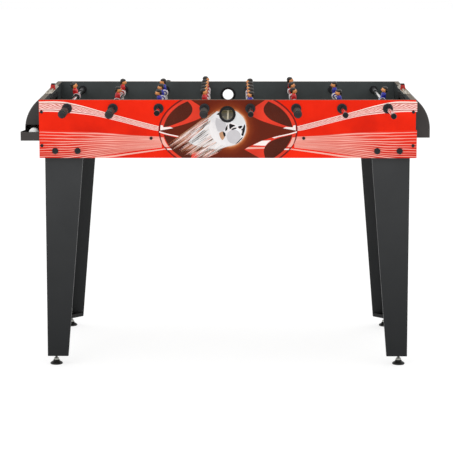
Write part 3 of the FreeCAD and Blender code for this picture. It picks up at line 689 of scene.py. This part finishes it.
def draw_print():
    """The oval, its leaves and wedges, the comet's tail and the ball."""
    bm = bmesh.new()
    inks = "line band maroon white pink salmon rust ball black leaf pearl grey tan ember".split()
    line, band, maroon, white, pink, salmon, rust, ball, black, leaf, pearl, grey, tan, ember = range(14)
    printed(bm, 1, oval(207.4, 126.4), line)
    printed(bm, 2, oval(202.9, 121.9), band)

    upper_wedge = curve([(73, 39), (96, 27.2), (127, 16), (154, 8.2), (176, 3), (206.5, -4)])
    lower_wedge = curve([
        (206.5, -6), (182, -13.6), (154, -19.5), (133, -25), (104, -34.6), (77, -46.7), (50.4, -61),
    ])
    right = [(112, EDGE), (84, 68), *upper_wedge, *lower_wedge, (96, -EDGE)]
    printed(bm, 3, right + mirrored(right)[::-1], maroon)

    upper_leaf = curve([
        (122, 83), (111.5, 71), (107.8, 57), (113.6, 43), (127, 29.6), (147, 19.8), (174, 9.7), (194, 5),
    ])
    upper_leaf += curve([
        (194, 6), (192, 14), (185.6, 29.6), (174, 47), (158, 62.6), (141, 74), (122.5, 83),
    ])[1:-1]
    lower_leaf = curve([
        (194, -17), (174, -21.4), (150, -28), (127, -38.5), (113.6, -52), (108.8, -66), (112.5, -EDGE),
    ])
    lower_leaf += curve([
        (139, -EDGE), (152.5, -77), (166, -66), (176, -54), (185.6, -38.5), (190.5, -27), (193.5, -18),
    ])[:-1]
    curl = curve([(207, -6.4), (182, -14), (154, -20), (133, -25.4)])
    curl += curve([(140, -27.6), (154, -23.4), (182, -17.4), (207, -10.4)])
    upper_tip = [(203, 11.5), (197, 11), (194.6, 5.2), (174, 6.4), (166, 2.6), (186, -1), (204, -4)]
    lower_tip = [(194.4, -25), (203, -25), (197, -44), (190, -54), (179, -54), (188, -40)]
    lower_dash = [(172.5, -58.6), (185.6, -58.6), (182.4, -62.4), (168.5, -62.4)]
    pale_band = [(103, -35), (131, -33.6), (121, -41), (113.6, -50), (76, -48.4)]
    thin_band = [(62, -54.2), (112, -54.2), (110, -58.6), (53, -60.4)]
    for points, look, layer in (
        (upper_leaf, leaf, 3), (lower_leaf, leaf, 3), (curl, white, 4), (upper_tip, white, 4),
        (lower_tip, pink, 4), (lower_dash, white, 4), (pale_band, white, 4), (thin_band, pink, 4),
    ):
        printed(bm, layer, points, look)
        printed(bm, layer, mirrored(points), look)

    core = curve([
        (-30, 54), (-52, 36), (-64, 12), (-82, -8), (-113, -34), (-104, -46), (-72, -54), (-34, -62),
    ])
    printed(bm, 11, core + [(10, -50), (0, 20)], pearl)
    draw = random.Random(11)
    for index in range(360):
        share = (index % 60 + draw.random()) / 60
        fine = 210 <= index < 250
        broad = index >= 250
        start = Vector((-38, 54)).lerp(Vector((6, -46)), share)
        end = Vector((-176, -44)).lerp(Vector((-74, -94)), share)
        near = draw.uniform(-0.05, 0.3 if broad else 0.62)
        far = draw.uniform(near + 0.25, 1.12)
        a = start.lerp(end, near)
        b = start.lerp(end, far)
        if b.y < -EDGE:
            b = a + (b - a) * ((-EDGE - a.y) / (b.y - a.y))
        swell = 0.4 if fine else 2.4 if broad else 1
        side = (b - a).orthogonal().normalized() * draw.uniform(0.5, 1.6) * swell
        middle = a.lerp(b, draw.uniform(0.25, 0.5))
        look, layer = draw.choice([(white, 12), (white, 12), (pink, 10), (tan, 8), (rust, 7)])
        if near > 0.54 and look == white:
            look, layer = draw.choice([(tan, 8), (salmon, 9)])
        if fine:
            look, layer = draw.choice([(salmon, 13), (tan, 14), (grey, 15)])
        if broad:
            look, layer = draw.choice([(pink, 6), (salmon, 6)] if share > 0.55 else [(rust, 5), (ember, 4)])
        low, high = middle - side, middle + side
        if min(low.y, high.y) > -EDGE:
            printed(bm, layer, [a, low, b, high], look)
    printed(bm, 16, [(1 + point[0], 4 + point[1]) for point in ring(55, 64)], ball)
    printed(bm, 17, [(19 + point[0], -22.6 + point[1]) for point in ring(21, 36)], grey)
    for outline, look, layer in (
        ([(24.7, 55), (38, 44), (48.5, 30), (51.4, 19.3), (41.8, 12.7), (32.3, 10.8), (20.9, 16.5),
          (15, 21), (24, 34)], pearl, 17),
        ([(-21, 29), (-34, 34.6), (-36, 15.5), (-28.7, -7.4), (-15.4, -7.4), (-5.8, 2.2), (-2, 15.5),
          (-9.7, 21)], grey, 17),
        ([(-24.9, -12), (-15.4, -6.4), (-6.8, -15), (-7.7, -24.5), (-14.4, -34), (-21, -26.4)], tan, 18),
    ):
        printed(bm, layer, soften(outline, 2.5, 2, closed=True), look)
    for outline in (
        [(-14.4, -5.5), (-5.8, -12), (-4.9, -19.8), (-9.7, -24.5), (-12.5, -15)],
        [(0.8, 14.6), (3, 7.9), (-1.1, -3.5), (-6.8, -6.4), (-5.8, 2.2), (-2, 9.8)],
        [(5.4, 15.5), (13.2, 16.5), (24.7, 9.8), (15, 6), (7.5, -1.6), (5.4, 6)],
        [(11.3, -1.6), (16, 3), (26.6, 5), (27.5, 1.2), (20.9, -0.7), (13.2, -3.6)],
        [(31.3, 7.9), (41.8, 10.8), (45.6, 8.8), (40.9, 2.2), (34.2, 0.3)],
        [(44.7, 0.3), (51.4, 15.5), (53.7, 7.9), (51.4, -7.4), (46.6, -22.6), (40.9, -16.9), (44.7, -9.3),
         (39.9, -1.6)],
        [(45.7, -22.6), (44.7, -27.4), (32.3, -40.7), (22.8, -45.6), (32.3, -36.9), (39.9, -28.3)],
        [(-33, 44), (-23, 51), (-24.9, 41.3)],
    ):
        printed(bm, 19, soften(outline, 2.5, 2, closed=True), black)
    seams = [
        ((3, 18), (0.6, 6)), ((0.6, 6), (4, -6)), ((4, -6), (-4, -10)), ((8, -4), (14, 4)),
        ((14, 4), (29, 6.5)), ((29, 6.5), (38, -1)), ((38, -1), (44, -5)), ((44, -5), (41, -14)),
        ((6, 18), (24, 12)),
    ]
    for start, end in seams:
        a, b = Vector(start), Vector(end)
        side = (b - a).orthogonal().normalized() * 0.8
        printed(bm, 20, [a - side, b - side, b + side, a + side], white)
    return bm, [f"print_{name}" for name in inks]


def level(points, x):
    """Height of a line of points at x."""
    for (x0, z0), (x1, z1) in zip(points, points[1:]):
        if x <= x1:
            return z0 + (z1 - z0) * (x - x0) / (x1 - x0)
    return points[-1][1]


def strip(bm, uv, upper, lower, layer, look):
    """A printed strip between two lines, cut off at the panel's lower edge, with its own UVs."""
    upper, lower = curve(upper), curve(lower)
    begin, end = upper[0][0], upper[-1][0]
    low = LAYER_START + LAYER_STEP * layer
    near, far, marks = [], [], {}
    for step in range(STRIP_STEPS + 1):
        along = step / STRIP_STEPS
        x = begin + (end - begin) * along
        top, base = min(EDGE, level(upper, x)), level(lower, x)
        share = min(1.0, (-EDGE - top) / (base - top)) if base < -EDGE else 1.0
        for side, depth in ((near, low + INK), (far, low)):
            side.append([])
            for across in (0.0, share / 3, share * 2 / 3, share):
                vertex = bm.verts.new((x, -depth, top + (base - top) * across))
                marks[vertex] = (along, across)
                side[-1].append(vertex)
    quads = []
    for a in range(STRIP_STEPS):
        for side in (near, far):
            quads += [(side[a][k], side[a + 1][k], side[a + 1][k + 1], side[a][k + 1]) for k in range(3)]
        quads += [(near[a][k], near[a + 1][k], far[a + 1][k], far[a][k]) for k in (0, 3)]
    for a in (0, STRIP_STEPS):
        quads += [(near[a][k], near[a][k + 1], far[a][k + 1], far[a][k]) for k in range(3)]
    for corners in quads:
        face = bm.faces.new(corners)
        face.material_index = look
        for loop in face.loops:
            loop[uv].uv = marks[loop.vert]


def draw_ribbons():
    """The ribbons and fans that run from the oval to the panel's ends."""
    bm = bmesh.new()
    uv = bm.loops.layers.uv.new("UVMap")
    ribbon_top = [(-560.7, 82), (-495, 82), (-438, 71), (-378, 54), (-322, 39), (-247, 19), (-199, 7)]
    ribbon_base = [(-560.7, 52), (-507, 51), (-420, 43), (-369, 34), (-292, 15), (-226, -2), (-199, -6)]
    fan_top = [(-560.7, -3), (-450, -7), (-350, -13), (-275, -19), (-196, -23)]
    fan_base = [(-560.7, -102), (-480, -98), (-390, -84), (-293, -68), (-180, -54)]
    thin_top = [(-396, -84.5), (-340, -79), (-293, -72.5), (-240, -65.5), (-178, -57.5)]
    thin_base = [(-396, -89), (-340, -84), (-293, -77), (-240, -69.5), (-178, -60.5)]
    for upper, lower, look in (
        (ribbon_top, ribbon_base, 0), (fan_top, fan_base, 1), (thin_top, thin_base, 2),
    ):
        strip(bm, uv, upper, lower, 0, look)
        strip(bm, uv, mirrored(upper)[::-1], mirrored(lower)[::-1], 0, look)
    for face in bm.faces:
        if face.calc_center_median().x > 0:
            for loop in face.loops:
                loop[uv].uv.x = 1 - loop[uv].uv.x
    return bm, ["ribbon", "fan", "print_pink"]


for side, name, turned in ((-1, "front", 0), (1, "rear", math.pi)):
    for kind, drawn in (("print", draw_print), ("ribbons", draw_ribbons)):
        bm, finishes = drawn()
        at = Matrix.Translation((0, side * HALF_WIDTH, MIDDLE)) @ Matrix.Rotation(turned, 4, "Z")
        piece(f"{name}_{kind}", bm, finishes, "cabinet", at, sharp=20)


# ---- playfield and scoring ----

def field_line(bm, outline):
    """One pale marking, laid flat on the playfield."""
    flat = Matrix.Translation((0, 0, FIELD)) @ Matrix.Rotation(math.radians(-90), 4, "X")
    prism(bm, outline, 0.02, 0.12, place=flat)


def frame_lines(bm, x0, y0, x1, y1, wide):
    """A rectangle of field lines."""
    for a, b, c, d in (
        (x0, y0, x1, y0 + wide), (x0, y1 - wide, x1, y1),
        (x0, y0 + wide, x0 + wide, y1 - wide), (x1 - wide, y0 + wide, x1, y1 - wide),
    ):
        field_line(bm, [(a, b), (c, b), (c, d), (a, d)])


bm = bmesh.new()
frame_lines(bm, -FIELD_HALF + 14, -INNER_Y + 14, FIELD_HALF - 14, INNER_Y - 14, 4)
field_line(bm, [(-2.5, -INNER_Y + 18), (2.5, -INNER_Y + 18), (2.5, INNER_Y - 18), (-2.5, INNER_Y - 18)])
for radius, wide in ((92, 4), (21, 2)):
    for half in (-1, 1):
        arc = sorted([p for p in ring(radius) if half * p[0] > 3], key=lambda p: p[1])
        inner = [(p[0] * (radius - wide) / radius, p[1] * (radius - wide) / radius) for p in reversed(arc)]
        field_line(bm, arc + inner)
for side in (-1, 1):
    for depth, half in ((70, 70), (150, 135)):
        x0, x1 = sorted((side * (FIELD_HALF - 18), side * (FIELD_HALF - 18 - depth)))
        frame_lines(bm, x0, -half, x1, half, 4)
piece("field_markings", bm, ["marking"], "cabinet", sharp=20)


def numeral(value):
    """A plain numeral as flat outlines, drawn from the built-in font."""
    letters = bpy.data.curves.new(f"numeral_{value}", "FONT")
    letters.body = str(value)
    letters.size = 11
    letters.extrude = 0.08
    letters.align_x = "CENTER"
    letters.align_y = "CENTER"
    holder = link(f"numeral_{value}", letters)
    bpy.context.view_layer.update()
    mesh = bpy.data.meshes.new_from_object(holder)
    bpy.data.objects.remove(holder)
    bpy.data.curves.remove(letters)
    return mesh


NUMBER_GAP = 19.5
strip_end = box("scorer_strips")[1].x
for side, name in ENDS:
    bm = bmesh.new()
    for value in range(11):
        mesh = numeral(value)
        spot = Matrix.Translation((side * (strip_end - 6), side * (value - 5) * NUMBER_GAP, TOP + 3.1))
        mesh.transform(spot @ Matrix.Rotation(side * math.pi / 2, 4, "Z"))
        bm.from_mesh(mesh)
        bpy.data.meshes.remove(mesh)
    piece(f"{name}_score_numbers", bm, ["print_number"], "cabinet", sharp=20)

for side, name in ENDS:
    low, high = box(f"{name}_score_slider")
    bm = bmesh.new()
    middle_x = (low.x + high.x) / 2 - side
    base = soften([(-6.4, -4.6), (6.4, -4.6), (6.4, 4.6), (-6.4, 4.6)], 1.6, 3, True)
    rows = [
        [Vector((*point * grow, z)) for point in base]
        for z, grow in ((0.0, 0.94), (0.5, 1.0), (3.0, 1.0), (3.8, 0.9), (4.0, 0.8))
    ]
    skin_rows(bm, rows, lambda row: 0)
    top_of = Matrix.Translation((middle_x, (low.y + high.y) / 2, high.z + 0.02))
    piece(f"{name}_counter_pad", bm, ["rubber"], f"{name}_score_slider", top_of)


# ---- mouldings at the rods ----

def along_y(side=1):
    """Turns the local Z axis to +Y or -Y."""
    return Matrix.Rotation(math.radians(-90 * side), 4, "X")


# Reach past the side panels of the grip's tip and of the cap's end, and the cap's length.
GRIP_END = 225
CAP_END = 135
CAP_LENGTH = 18
RIB_COUNT = 16
RIB_RISE = 1.5
rods = []
for number, (count, gap, team, tilt) in enumerate(RODS, start=1):
    tube = TUBES[number - 1]
    handle = -1 if team == "red" else 1
    slid = tube.y - handle * (GRIP_END - CAP_END) / 2
    places = [gap * (k - (count - 1) / 2) for k in range(count)]
    rods.append(dict(
        name=f"rod{number}", x=tube.x, z=tube.z, slid=slid, handle=handle, places=places, team=team, tilt=tilt,
    ))


def on_rod(rod, y):
    """Moves a shape to a place on a rod's axis."""
    return Matrix.Translation((rod["x"], y, rod["z"]))


flange = soften([
    (-18, 6.5), (3.0, 6.5), (3.4, 8.6), (2.2, 9.4), (2.2, 10.4), (3.8, 11.2), (3.4, 14.2), (1.4, 15.2),
    (0, 15.2), (0, 10.9), (-15, 10.9), (-15, 13), (-18, 13),
], 0.7, 3, True)
bushings = stock(lambda: ring_shape(flange, 40), ["collar"])
for rod in rods:
    for side, name in FACES:
        at = on_rod(rod, side * HALF_WIDTH) @ along_y(side)
        bushing = bushings(f"{rod['name']}_{name}_bushing", "cabinet", at)
        if rod is rods[0] and side < 0:
            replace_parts(bushing, "rod_bushings")

sleeve = soften([(0, 6.5), (0, 7.6), (1.4, 8.4), (98, 8.4), (100, 7.6), (100, 6.5)], 0.5, 2, True)
sleeves = stock(lambda: ring_shape(sleeve, 32), ["black"])
for rod in (rods[0], rods[-1]):
    for side, name in FACES:
        at = on_rod(rod, side * (INNER_Y - 3)) @ along_y(-side)
        sleeves(f"{rod['name']}_{name}_stop_sleeve", "cabinet", at)


def grip_mesh():
    """Grip with sixteen long ribs, a plain collar at its root and a smooth dome at its tip."""
    bm = bmesh.new()
    profile = [
        (6, 0), (6, 6.45), (107, 6.45), (113, 6.5), (113, 9.2), (111.6, 10.4), (107, 10.8), (105, 9.9),
        (103, 9.9), (101, 10.4), (60, 10.7), (20, 10.9), (10, 10.9), (8.4, 10.6), (8.0, 9.4), (7.0, 9.2),
        (4.6, 8.4), (2.0, 6.4), (0.5, 3.4), (0, 0),
    ]
    turn(bm, profile, 128, ribs=grip_ribs)
    for face in bm.faces:
        if face.calc_center_median().z < 9:
            face.material_index = 1
    return bm


def grip_ribs(row, angle):
    """How far the grip's ribs stand out."""
    if not 9 <= row <= 13:
        return 0.0
    return RIB_RISE * max(0.0, math.cos(RIB_COUNT * angle)) ** 0.5


def cap_mesh():
    """Small domed cap on the rod's plain end."""
    bm = bmesh.new()
    dome = soften([(0, 7.8), (1, 8.6), (11.5, 8.6), (14.4, 7.6), (16.6, 5.2), (17.8, 2.2), (18, 0)], 1.2, 3)
    turn(bm, [(12, 0), (12, 6.45), (0, 6.45), *dome], 40)
    return bm


grips = stock(grip_mesh, ["grip", "tip"], 50)
caps = stock(cap_mesh, ["dome"])
for rod in rods:
    body = rod["name"]
    handle = rod["handle"]
    tip = handle * (HALF_WIDTH + GRIP_END) + rod["slid"]
    root = -handle * (HALF_WIDTH + CAP_END - CAP_LENGTH) + rod["slid"]
    spin = Matrix.Rotation(math.radians(rod["tilt"]), 4, "Y")
    grip = grips(f"{body}_ribbed_grip", body, on_rod(rod, tip) @ spin @ along_y(-handle))
    caps(f"{body}_end_cap", body, on_rod(rod, root) @ spin @ along_y(-handle))
    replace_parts(grip, f"{body}_grip")


# ---- players ----

KIT, SKIN, HAIR, WHITE, BOOTS = range(5)


def add_round(bm, centre, reach, look, steps=20, rings=12, rough=0.0, seed=0):
    """A rounded lump with its own radii along X, Y and Z; rough gives it curls."""
    draw = random.Random(seed)
    rows = []
    for k in range(1, rings):
        tilt = math.pi * k / rings
        row = []
        for step in range(steps):
            angle = 2 * math.pi * step / steps
            swell = 1 + rough * draw.uniform(-1, 1)
            row.append(Vector((
                centre[0] + reach[0] * swell * math.sin(tilt) * math.cos(angle),
                centre[1] + reach[1] * swell * math.sin(tilt) * math.sin(angle),
                centre[2] - reach[2] * swell * math.cos(tilt),
            )))
        rows.append(row)
    skin_rows(bm, rows, lambda row: look)


def rounded_ring(z, back, front, half, power=2.6):
    """A rounded rectangle at height z."""
    middle = (back + front) / 2
    deep = (front - back) / 2
    return [
        Vector((
            middle + deep * math.copysign(abs(x) ** (2 / power), x),
            half * math.copysign(abs(y) ** (2 / power), y), z,
        ))
        for x, y in ring(1, 28)
    ]


def player_mesh():
    """A moulded figure that faces +X, on a rod along Y through the origin."""
    bm = bmesh.new()
    sections = [
        (-61, -4.5, 11, 8, BOOTS), (-60, -6, 12.2, 9, BOOTS), (-55, -6.4, 12, 9.2, BOOTS),
        (-52, -6.6, 9.6, 9, BOOTS), (-50.4, -6, 6.6, 8.2, BOOTS), (-49.6, -6.4, 6.4, 8.6, KIT),
        (-46, -6, 5.2, 8.2, KIT), (-37, -6.6, 5.6, 8.4, KIT),
        (-36, -6.2, 5.4, 8.2, SKIN), (-32, -6.2, 6.4, 8.4, SKIN), (-28.6, -6.4, 6.8, 8.8, SKIN),
        (-28, -7.4, 7.6, 9.8, WHITE), (-18, -7.4, 7.6, 10, WHITE), (-10, -7.2, 7.2, 9.8, WHITE),
        (-9, -7.8, 7.8, 10.4, KIT), (0, -8, 8, 10.6, KIT), (10, -8, 8, 10.8, KIT), (18, -8, 8.2, 11, KIT),
        (23, -7.2, 7.2, 10.6, KIT), (26.4, -5.6, 5.6, 8.2, KIT), (28, -4.4, 4.4, 5.4, SKIN),
        (32, -4, 4.4, 4.6, SKIN),
    ]
    rows = [rounded_ring(z, back, front, half) for z, back, front, half, _ in sections]
    skin_rows(bm, rows, lambda row: sections[row][4])
    hub = soften([
        (-11.2, 6.5), (-11.2, 8), (-10.6, 8.2), (-10.6, 9.6), (-9.6, 10.6), (9.6, 10.6), (10.6, 9.6),
        (10.6, 8.2), (11.2, 8), (11.2, 6.5),
    ], 0.5, 2, True)
    turn(bm, hub, 36, along_y(), KIT, closed=True)
    for side in (-1, 1):
        edge = soften([(10.2, 8.4), (11.9, 8.4), (11.9, 11.6), (10.2, 11.6)], 0.7, 3, True)
        turn(bm, edge, 40, along_y(side), WHITE, closed=True)
        add_round(bm, (0.5, side * 9.6, 18), (4.6, 2.6, 7.4), KIT, 16, 10)
        add_round(bm, (0.6, side * 8.7, 35.5), (1.8, 1.3, 2.5), SKIN, 10, 8)
        add_round(bm, (9.6, side * 3.4, 37.4), (0.9, 1.2, 0.9), BOOTS, 8, 6)
    add_round(bm, (1.2, 0, 35.4), (9.0, 8.6, 9.4), SKIN, 24, 16)
    add_round(bm, (10.0, 0, 34.6), (1.6, 1.4, 2.2), SKIN, 12, 8)
    add_round(bm, (8.8, 0, 30.8), (1.1, 2.8, 0.7), KIT, 12, 6)
    add_round(bm, (-0.8, 0, 40.4), (9.2, 9.2, 6.4), HAIR, 26, 16, 0.05, 5)
    add_round(bm, (-4.4, 0, 35.6), (5.6, 8.6, 7.0), HAIR, 24, 12, 0.05, 6)
    return bm


figures = {
    team: stock(player_mesh, [team, "skin", "hair", "white", "boots"], 40)
    for team in ("red", "blue")
}
for rod in rods:
    body = rod["name"]
    turned = Matrix.Rotation(math.radians(rod["tilt"]), 4, "Y")
    if rod["handle"] > 0:
        turned = turned @ Matrix.Rotation(math.pi, 4, "Z")
    for index, spot in enumerate(rod["places"], start=1):
        at = on_rod(rod, rod["slid"] + spot) @ turned
        figure = figures[rod["team"]](f"{body}_player_{index}", body, at)
        if index == 1:
            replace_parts(figure, f"{body}_players")


# ---- cabinet hardware ----

cup = soften([
    (-17.4, 17.5), (-1, 17.5), (1.4, 18.4), (2.2, 20.6), (4.4, 21.8), (4.4, 23.6), (2.6, 24.8), (0, 24.8),
    (0, 21), (-15, 21), (-15, 24.5), (-17.4, 24.5),
], 0.9, 3, True)
cups = stock(lambda: ring_shape(cup, 56), ["black"])
for side, name in FACES:
    at = Matrix.Translation((0, side * HALF_WIDTH, SERVE_Z)) @ along_y(side)
    made = cups(f"{name}_serve_cup", "cabinet", at)
    if side < 0:
        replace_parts(made, "serve_cups")


def head_mesh(radius, high, recess, sides):
    """Domed head with a socket sunk into it."""
    bm = bmesh.new()
    dome = [
        (0, 0), (0, radius), (high * 0.35, radius), (high * 0.7, radius * 0.86), (high * 0.94, radius * 0.6),
    ]
    dome = dome[:1] + soften(dome[1:], radius * 0.16, 3)
    turn(bm, dome + [(high, recess), (high * 0.45, recess), (high * 0.4, 0)], 36,
         ribs=lambda row, angle: socket(row, angle, len(dome), recess, sides))
    return bm


def polygon(angle, sides, reach):
    """How far a polygon's side lies inside the circle round its corners, at an angle."""
    share = (angle % (2 * math.pi / sides)) - math.pi / sides
    return reach * (math.cos(math.pi / sides) / math.cos(share) - 1)


def socket(row, angle, first, recess, sides):
    """Draws the socket's rim in to a polygon or a cross."""
    if row < first:
        return 0
    if sides == 4:
        return -recess * 0.62 * (1 - abs(math.cos(2 * angle)) ** 3)
    return polygon(angle, sides, recess)


def head_centres(node, axis, size):
    """Middles of the round heads on a node's two outer sides along an axis."""
    points = [vertex.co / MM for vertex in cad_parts[node].data.vertices]
    middles = []
    for way in (-1, 1):
        end = max(way * point[axis] for point in points)
        heads = []
        for point in points:
            if end < size or abs(way * point[axis] - end) > 0.01:
                continue
            head = next((head for head in heads if (head[0] - point).length < 24), None)
            if head:
                head.append(point)
            else:
                heads.append([point])
        middles += [(way, (Vector(map(min, *head)) + Vector(map(max, *head))) / 2) for head in heads]
    return middles


def along_x(side):
    return Matrix.Rotation(math.radians(90 * side), 4, "Y")


def set_heads(node, label, shape):
    """Put a detailed head over each plain one of a node."""
    heads = stock(lambda: head_mesh(*shape), ["steel"])
    count = 0
    for axis, size, rotate in ((1, HALF_WIDTH, along_y), (0, HALF_LENGTH, along_x)):
        for way, middle in head_centres(node, axis, size):
            count += 1
            middle[axis] = way * size
            heads(f"{label}_{count:02d}", "cabinet", Matrix.Translation(middle) @ rotate(way))


set_heads("leg_bolts", "leg_bolt_head", (9.3, 4.4, 3.4, 6))
set_heads("panel_screws", "panel_screw_head", (4.7, 2.4, 2.2, 4))


def leveller_mesh():
    """Levelling foot: bell, hexagon nut and threaded stud."""
    bm = bmesh.new()
    bell = soften([
        (0, 0), (0, 18.2), (1.2, 19), (3.6, 19), (5.2, 17.4), (9, 11.4), (13, 9), (13, 0),
    ], 0.8, 3)
    turn(bm, [(0, 0)] + bell[1:-1] + [(13, 0)], 48)
    nut = [(13, 4.2), (13, 7.2), (13.6, 7.8), (18.4, 7.8), (19, 7.2), (19, 4.2)]
    turn(bm, nut, 36, look=1, closed=True,
         ribs=lambda row, angle: polygon(angle, 6, 7.4) + 0.4 if 1 <= row <= 4 else 0)
    thread = [(13.2, 0), (13.2, 3.5)]
    height = 14.0
    while height < 56.5:
        thread += [(height, 3.5), (height + 0.55, 3.98), (height + 0.7, 3.98)]
        height += 1.25
    thread += [(57, 3.5), (58, 2.9), (58, 0)]
    turn(bm, thread, 24, look=1)
    return bm


feet = stock(leveller_mesh, ["foot", "zinc"])
for corner in corner_names:
    body = f"{corner}_leveller"
    middle = centre(body)
    at = Matrix.Translation((middle.x, middle.y, box(body)[0].z))
    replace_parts(feet(f"{corner}_threaded_foot", body, at), body)


# ---- stage ----

scene = bpy.context.scene
floor_mesh = bpy.data.meshes.new("floor")
floor_mesh.from_pydata([(-20, -20, 0), (20, -20, 0), (20, 20, 0), (-20, 20, 0)], [], [(0, 1, 2, 3)])
floor_mesh.materials.append(looks["floor"])
link("floor", floor_mesh)

world = bpy.data.worlds.new("studio")
world.use_nodes = True
sky = world.node_tree.nodes["Background"].inputs
sky["Color"].default_value = (1, 1, 1, 1)
sky["Strength"].default_value = 1.0
scene.world = world


def softbox(name, at, toward, size, power):
    """A large square light that faces a point."""
    data = bpy.data.lights.new(name, "AREA")
    data.shape = "SQUARE"
    data.size = size
    data.energy = power
    lamp = link(name, data)
    lamp.location = at
    lamp.rotation_euler = (Vector(toward) - Vector(at)).to_track_quat("-Z", "Y").to_euler()


softbox("key", (-1.8, -3.2, 3.4), (0, 0, 0.6), 1.8, 18)
softbox("top", (0.4, 0.3, 3.6), (0, 0, 0.7), 2.4, 14)
softbox("rim", (2.2, 2.6, 2.2), (0, 0, 0.7), 1.6, 8)

camera_data = bpy.data.cameras.new("camera")
camera_data.sensor_width = 36
camera_data.lens = 148.7
camera_data.shift_y = -0.10
camera_data.clip_end = 60
camera = link("camera", camera_data)
camera.location = (0.022, -5.844, 1.3745)
camera.rotation_euler = (math.radians(90 - 8.274), 0, math.radians(0.254))
scene.camera = camera
scene.view_settings.view_transform = "Standard"
